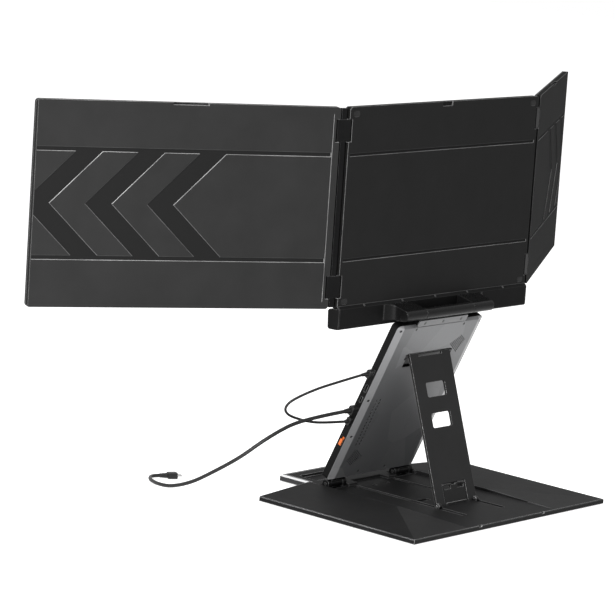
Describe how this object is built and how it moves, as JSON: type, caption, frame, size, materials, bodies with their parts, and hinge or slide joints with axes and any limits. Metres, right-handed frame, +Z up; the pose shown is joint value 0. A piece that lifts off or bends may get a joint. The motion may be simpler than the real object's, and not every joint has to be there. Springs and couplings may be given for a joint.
{
  "type": "folding screen extender",
  "caption": "Folding screen extender: wing screens on twin-pivot links beside a centre screen, on a leaning unit with a sliding strut over a faceted base.",
  "frame": {"origin": "On the standing surface, under the middle of the centre screen's back face.", "axes": "+X along the centre screen's width, -Y the way the screens face, +Z up."},
  "size_m": [1.01, 0.3931, 0.4926],
  "materials": {
    "black_plastic": "satin moulded",
    "screen_plastic": "fine grained",
    "bezel_plastic": "fine grained",
    "cover_plastic": "satin painted",
    "inner_plastic": "plain",
    "display_glass": "anti-glare",
    "strut_metal": "powder coated",
    "hinge_metal": "powder coated",
    "tab_metal": "satin",
    "tray_metal": "bevelled",
    "sheet_steel": "plain",
    "bright_steel": "turned",
    "board": "coated",
    "orange_plastic": "moulded",
    "cable_rubber": "smooth",
    "rubber": "soft"
  },
  "bodies": {
    "base": {"base_shell": "black_plastic", "base_sheet": "sheet_steel", "base_weights": "sheet_steel", "base_feet": "rubber", "base_screws": "bright_steel", "tray_frame": "tray_metal", "base_brackets": "hinge_metal", "base_pins": "bright_steel"},
    "unit": {"unit_shell": "black_plastic", "unit_cover": "cover_plastic", "unit_board": "board", "unit_ports": "bright_steel", "unit_speakers": "inner_plastic", "unit_screws": "bright_steel", "unit_knuckles": "hinge_metal", "hinge_tab": "tab_metal", "tab_screws": "bright_steel", "hinge_arm": "hinge_metal", "tilt_shaft": "bright_steel", "strut_bracket": "sheet_steel", "strut_pins": "bright_steel", "main_cable": "cable_rubber", "main_plug": "cable_rubber", "main_far_plug": "cable_rubber", "jumper_cable": "cable_rubber", "jumper_plugs": "cable_rubber"},
    "switch": {"power_switch": "orange_plastic"},
    "strut": {"strut": "strut_metal", "strut_foot_pins": "bright_steel", "latch_pins": "bright_steel"},
    "latch": {"latch_flap": "black_plastic"},
    "centre_screen": {"centre_cover": "screen_plastic", "centre_bezel": "bezel_plastic", "centre_display": "display_glass", "corner_pads": "rubber", "chin_bar": "black_plastic", "chin_caps": "black_plastic", "chin_screws": "bright_steel", "yoke": "hinge_metal", "barrel_caps": "hinge_metal", "centre_link_pins": "bright_steel"},
    "right_link": {"right_links": "hinge_metal"},
    "left_link": {"left_links": "hinge_metal"},
    "right_screen": {"right_cover": "screen_plastic", "right_bezel": "bezel_plastic", "right_display": "display_glass", "right_link_pins": "bright_steel"},
    "left_screen": {"left_cover": "screen_plastic", "left_bezel": "bezel_plastic", "left_display": "display_glass", "left_link_pins": "bright_steel"}
  },
  "joints": [
    {"name": "unit_lean", "type": "hinge", "parent": "base", "child": "unit", "pos_m": [0, -0.0795, 0.011], "axis": [-1, 0, 0], "range_deg": [-8, 5]},
    {"name": "strut_swing", "type": "hinge", "parent": "unit", "child": "strut", "pos_m": [0, -0.00389, 0.18203], "axis": [-1, 0, 0], "range_deg": [-13.5, 18]},
    {"name": "latch_press", "type": "hinge", "parent": "strut", "child": "latch", "pos_m": [0, 0.05339, 0.02985], "axis": [1, 0, 0], "range_deg": [0, 20], "stiffness_Nm_per_rad": 0.02},
    {"name": "switch_slide", "type": "slide", "parent": "unit", "child": "switch", "axis": [0, 0.4043, 0.9146], "range_m": [0, 0.003]},
    {"name": "screen_tilt", "type": "hinge", "parent": "unit", "child": "centre_screen", "pos_m": [0, 0.0255, 0.2404], "axis": [-1, 0, 0], "range_deg": [-5, 30]},
    {"name": "right_link_fold", "type": "hinge", "parent": "centre_screen", "child": "right_link", "pos_m": [0.18085, -0.00738, 0.37328], "axis": [0, 0.0164, -0.9999], "range_deg": [-15, 75]},
    {"name": "right_screen_fold", "type": "hinge", "parent": "right_link", "child": "right_screen", "pos_m": [0.19534, -0.01127, 0.37322], "axis": [0, 0.0164, -0.9999], "range_deg": [-15, 75]},
    {"name": "left_link_fold", "type": "hinge", "parent": "centre_screen", "child": "left_link", "pos_m": [-0.18175, -0.00738, 0.37328], "axis": [0, -0.0164, 0.9999], "range_deg": [-15.45, 74.55]},
    {"name": "left_screen_fold", "type": "hinge", "parent": "left_link", "child": "left_screen", "pos_m": [-0.18792, -0.00909, 0.37325], "axis": [0, -0.0164, 0.9999], "range_deg": [-15.45, 74.55]}
  ],
  "couplings": [
    {"joint": "strut_swing", "follows": "unit_lean", "ratio": -2.1306}
  ]
}
